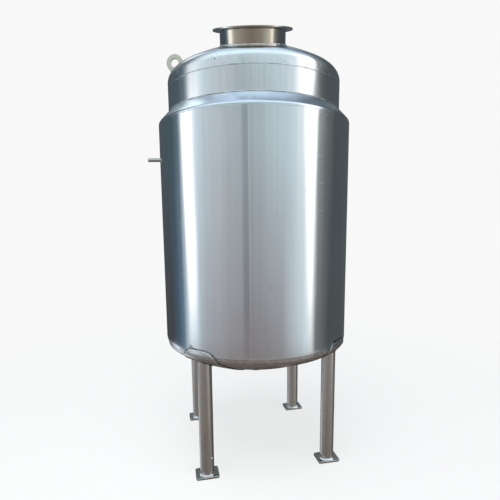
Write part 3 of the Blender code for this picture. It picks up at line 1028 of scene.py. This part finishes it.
def make_side_nozzle():
    turn = Matrix.Rotation(radians(NOZZLE_BEARING - 90), 4, "Z")
    middle = at_bearing(NOZZLE_BEARING, NOZZLE_TIP_RADIUS, NOZZLE_Z)
    put = Matrix.Translation(middle) @ turn @ Matrix.Rotation(radians(90), 4, "Y")
    length = NOZZLE_TIP_RADIUS - NOZZLE_INNER_END
    bore = NOZZLE_RADIUS - NOZZLE_WALL
    corners = [
        (NOZZLE_RADIUS, 0, 0.0006), (NOZZLE_RADIUS, -length, 0),
        (bore, -length, 0), (bore, 0, 0.0005),
    ]
    lathe("side_stub", rounded(corners), LEG, "side_nozzle", COARSE, put)
    ring = ring_path(NOZZLE_RADIUS + 0.0006, JACKET_RADIUS - NOZZLE_TIP_RADIUS + 0.0004, 45, COARSE, put)
    weld("side_stub_weld", ring, 0.0045, 0.0018, DARK_WELD, wobble=0.6)


def make_outlet():
    bore = OUTLET_RADIUS - OUTLET_WALL
    face = OUTLET_END_Z + FERRULE_THICKNESS
    dish_depth = crown_centre_z() + HEAD_CROWN - HEAD_TANGENT_Z
    low, top = face + GAP, VESSEL_BOTTOM_Z - dish_depth + VESSEL_WALL + OUTLET_INSIDE
    corners = [(OUTLET_RADIUS, low, 0), (OUTLET_RADIUS, top, 0.0005), (bore, top, 0.0005), (bore, low, 0)]
    lathe("outlet_tube", rounded(corners), NECK, "bottom_outlet", MEDIUM)
    corners = [
        (FERRULE_RADIUS, OUTLET_END_Z, 0.0008), (FERRULE_RADIUS, OUTLET_END_Z + 0.0028, 0.0008),
        (OUTLET_RADIUS + 0.0004, face, 0), (bore, face, 0), (bore, OUTLET_END_Z, 0.0006),
    ]
    lathe("outlet_clamp_ferrule", rounded(corners), NECK, "outlet_ferrule", MEDIUM)
    ring = ring_path(OUTLET_RADIUS + 0.001, under_z(OUTLET_RADIUS, 0) - 0.0008, -45, MEDIUM)
    weld("outlet_weld", ring, 0.006, 0.0022, DARK_WELD, wobble=0.6)


# Stage, light and camera

def make_stage():
    build = bmesh.new()
    bmesh.ops.create_circle(build, cap_ends=True, segments=96, radius=40)
    mesh = bpy.data.meshes.new("studio_floor")
    build.to_mesh(mesh)
    build.free()
    mesh.materials.append(floor_material())
    floor = add_object("studio_floor", mesh)
    floor.visible_glossy = False


CAMERA_AZIMUTH = -12.16
CAMERA_DISTANCE = 1.9878
CAMERA_HEIGHT = 1.149
CAMERA_PITCH = 8.19
CAMERA_YAW = 0.733
CAMERA_ROLL = -0.566
CAMERA_LENS = 28.264
CAMERA_SHIFT = 0.056


def make_camera():
    camera = add_object("camera", bpy.data.cameras.new("camera"))
    camera.data.sensor_width = 36
    camera.data.lens = CAMERA_LENS
    camera.data.shift_y = CAMERA_SHIFT
    heading = Matrix.Rotation(radians(CAMERA_AZIMUTH + CAMERA_YAW), 4, "Z")
    pitch = Matrix.Rotation(radians(90 - CAMERA_PITCH), 4, "X")
    roll = Matrix.Rotation(radians(CAMERA_ROLL), 4, "Z")
    stand = at_bearing(CAMERA_AZIMUTH, CAMERA_DISTANCE, CAMERA_HEIGHT)
    camera.matrix_world = Matrix.Translation(stand) @ heading @ pitch @ roll
    bpy.context.scene.camera = camera


def ramp(share, stops):
    """A tone by a share from 0 to 1."""
    node = add_node(share.id_data, "ValToRGB", {"Fac": share})
    elements = node.color_ramp.elements
    elements.remove(elements[-1])
    elements[0].position = stops[0][0]
    elements[0].color = rgba(stops[0][1])
    for where, tone in stops[1:]:
        elements.new(where).color = rgba(tone)
    return node.outputs["Color"]


# What surrounds the tank, by angle round it from the camera's side, positive to the right: a grey front
# that brightens towards two tall white strips, and a dark back. Tones are halved.
SURROUND_LOW = (
    (-180, 0.03), (-122, (0.04, 0.043, 0.048)), (-108, (0.045, 0.075, 0.11)),
    (-97, (0.085, 0.145, 0.19)), (-86, (0.48, 0.54, 0.59)), (-76, (0.41, 0.49, 0.56)),
    (-66, (0.27, 0.295, 0.32)), (-40, (0.235, 0.232, 0.245)), (-5, (0.17, 0.16, 0.168)),
    (32, (0.218, 0.218, 0.23)), (62, (0.43, 0.5, 0.53)), (72, (0.5, 0.52, 0.52)),
    (76, (0.13, 0.13, 0.135)), (100, (0.05, 0.056, 0.06)),
)
SURROUND_HIGH = (
    (-180, (0.04, 0.045, 0.05)), (-110, (0.045, 0.065, 0.078)), (-98, (0.085, 0.122, 0.148)),
    (-89, (0.45, 0.51, 0.55)), (-72, (0.48, 0.56, 0.61)), (-62, (0.38, 0.44, 0.475)),
    (-44, (0.345, 0.38, 0.405)), (-8, (0.25, 0.29, 0.305)), (44, (0.385, 0.45, 0.49)),
    (62, (0.58, 0.63, 0.65)), (75, (0.64, 0.67, 0.68)), (79, (0.22, 0.235, 0.235)),
    (90, (0.1, 0.11, 0.11)), (106, (0.048, 0.055, 0.06)),
)
# The ground beside the tank by the same angle, and straight under it
GROUND = (
    (-180, 0.05), (-146, 0.07), (-133, (0.3, 0.33, 0.36)), (-124, (0.72, 0.79, 0.86)),
    (-116, (0.5, 0.55, 0.6)), (-107, (0.22, 0.235, 0.25)), (-96, (0.18, 0.185, 0.19)),
    (-84, (0.16, 0.155, 0.15)), (-66, (0.145, 0.134, 0.125)), (-40, (0.132, 0.118, 0.108)),
    (20, (0.136, 0.118, 0.107)), (62, (0.145, 0.13, 0.12)), (80, (0.13, 0.122, 0.114)),
    (108, (0.085, 0.082, 0.078)), (137, (0.06, 0.057, 0.054)), (155, 0.04),
)
GROUND_BELOW = (0.098, 0.082, 0.073)
# The sky in front and behind by the upward part of the direction, and the share of the back's by angle
FRONT_SKY = (
    (0.36, (0.46, 0.54, 0.58)), (0.55, (0.51, 0.64, 0.69)), (0.7, (0.6, 0.73, 0.75)),
    (0.84, (0.52, 0.66, 0.72)), (0.92, (0.36, 0.46, 0.52)), (0.95, (0.34, 0.44, 0.5)),
    (0.98, (0.66, 0.85, 1)),
)
BACK_SKY = (
    (0.4, (0.13, 0.155, 0.165)), (0.62, (0.17, 0.21, 0.23)), (0.72, (0.24, 0.3, 0.35)),
    (0.8, (0.3, 0.37, 0.46)), (0.89, (0.36, 0.45, 0.56)), (0.95, (0.46, 0.58, 0.74)),
    (1, (0.53, 0.68, 0.87)),
)
BACK_SHARE = (
    (-180, 0.92), (-160, 0.85), (-146, 0.72), (-130, 0.66), (-114, 0.64), (-101, 0.56), (-94, 0.75),
    (84, 0.9), (97, 0.85), (110, 0.5), (121, 0.27), (140, 0.24), (152, 0.5), (166, 0.8),
)
# A bright patch high on the left behind the tank: its direction to the right, to the front and up
PATCH = (-0.49, -0.457, 0.74)
PATCH_TONE = (0.64, 0.75, 0.78)
# Strength of the two strips by the upward part of the direction
LEFT_STRIP = ((-0.3, 0.1), (-0.145, 0.8), (-0.05, 1), (0.22, 1), (0.31, 0.2))
RIGHT_STRIP = ((-0.31, 0.1), (-0.18, 0.9), (-0.08, 1), (0.6, 1), (0.78, 0))


def make_world():
    """What the steel mirrors; the camera itself sees only the plain backdrop."""
    world = bpy.data.worlds.new("studio")
    bpy.context.scene.world = world
    world.use_nodes = True
    tree = world.node_tree
    tree.nodes.clear()
    direction = tree.nodes.new("ShaderNodeTexCoord").outputs["Generated"]

    def part_along(axis):
        node = add_node(tree, "VectorMath", {0: direction, 1: axis}, operation="DOT_PRODUCT")
        return node.outputs["Value"]

    side = radians(CAMERA_AZIMUTH)
    right = part_along((cos(side), sin(side), 0))
    front = part_along((sin(side), -cos(side), 0))
    up = part_along((0, 0, 1))
    turn = times(arithmetic("ARCTAN2", right, front), 180 / pi)

    def by_turn(stops):
        share = fade(turn, -180, 180)
        return ramp(share, [((angle + 180) / 360, tone) for angle, tone in stops])

    def by_rise(stops):
        share = fade(up, -1, 1)
        return ramp(share, [((height + 1) / 2, tone) for height, tone in stops])

    def leaning(slope):
        return plus(turn, times(up, slope))

    level = fade(up, -0.27, 0.2)
    colour = blend(level, by_turn(SURROUND_LOW), by_turn(SURROUND_HIGH))
    back = {0: by_rise(BACK_SKY), "Scale": by_turn(BACK_SHARE)}
    back = add_node(tree, "VectorMath", back, operation="SCALE").outputs["Vector"]
    sky = blend(fade(front, 0.05, 0.28), back, by_rise(FRONT_SKY))
    colour = blend(fade(up, 0.37, 0.48), colour, sky)
    towards = plus(times(right, PATCH[0]), times(front, PATCH[1]))
    towards = plus(towards, times(up, PATCH[2]))
    colour = blend(fade(towards, 0.98, 0.992), colour, PATCH_TONE)

    bent = plus(leaning(-12), value_range(up, 0, -8, 0.24, 0.33))
    for rise, fall, strength in (
        (fade(leaning(10), -91.5, -87), fade(turn, -71, -77), LEFT_STRIP),
        (fade(leaning(14), 59.5, 68), fade(bent, 75, 72), RIGHT_STRIP),
    ):
        strip = times(times(rise, fall), by_rise(strength))
        colour = blend(strip, colour, 1)

    ground = blend(fade(up, -0.58, -0.78), by_turn(GROUND), GROUND_BELOW)
    colour = blend(fade(up, -0.29, -0.4), colour, ground)
    around = add_node(tree, "Background", {"Color": colour, "Strength": 2}).outputs["Background"]
    seen = add_node(tree, "Background", {"Color": BACKDROP}).outputs["Background"]
    camera_ray = tree.nodes.new("ShaderNodeLightPath").outputs["Is Camera Ray"]
    mix = add_node(tree, "MixShader", {0: camera_ray, 1: around, 2: seen})
    add_node(tree, "OutputWorld", {"Surface": mix.outputs["Shader"]})


def make_light():
    """One large soft box overhead; it lights the floor and isn't reflected in the steel."""
    lamp = bpy.data.lights.new("soft_box", "AREA")
    lamp.shape = "DISK"
    lamp.size = 3.6
    lamp.energy = 150
    light = add_object("soft_box", lamp)
    light.location = (-0.9, -1.2, 4.6)
    light.rotation_euler = (Vector((0, 0, 0.4)) - light.location).to_track_quat("-Z", "Y").to_euler()
    light.visible_glossy = False


make_camera()
make_stage()
make_world()
make_light()
make_jacket_skin()
make_shoulder()
make_underside()
make_jacket_welds()
make_jacket_ticks()
make_vessel_shell()
make_top_head()
make_bottom_head()
make_head_seam()
make_neck()
for corner_name, pad_bearing in PAD_BEARINGS.items():
    make_pad(corner_name, pad_bearing)
    make_pad_welds(corner_name, pad_bearing)
for corner_name, (corner_x, corner_y) in CORNERS.items():
    leg_middle = Vector((corner_x * LEG_X, corner_y * LEG_Y, 0))
    make_leg(corner_name, leg_middle)
    make_foot_weld(corner_name, leg_middle)
    make_foot(corner_name, leg_middle)
make_leg_nick()
for side_name, side_bearing in LUG_BEARINGS.items():
    lug_place = lug_stand(side_bearing)
    make_lug(side_name, lug_place)
    make_lug_weld(side_name, lug_place)
make_side_nozzle()
make_outlet()
bpy.context.scene.view_settings.view_transform = "Standard"
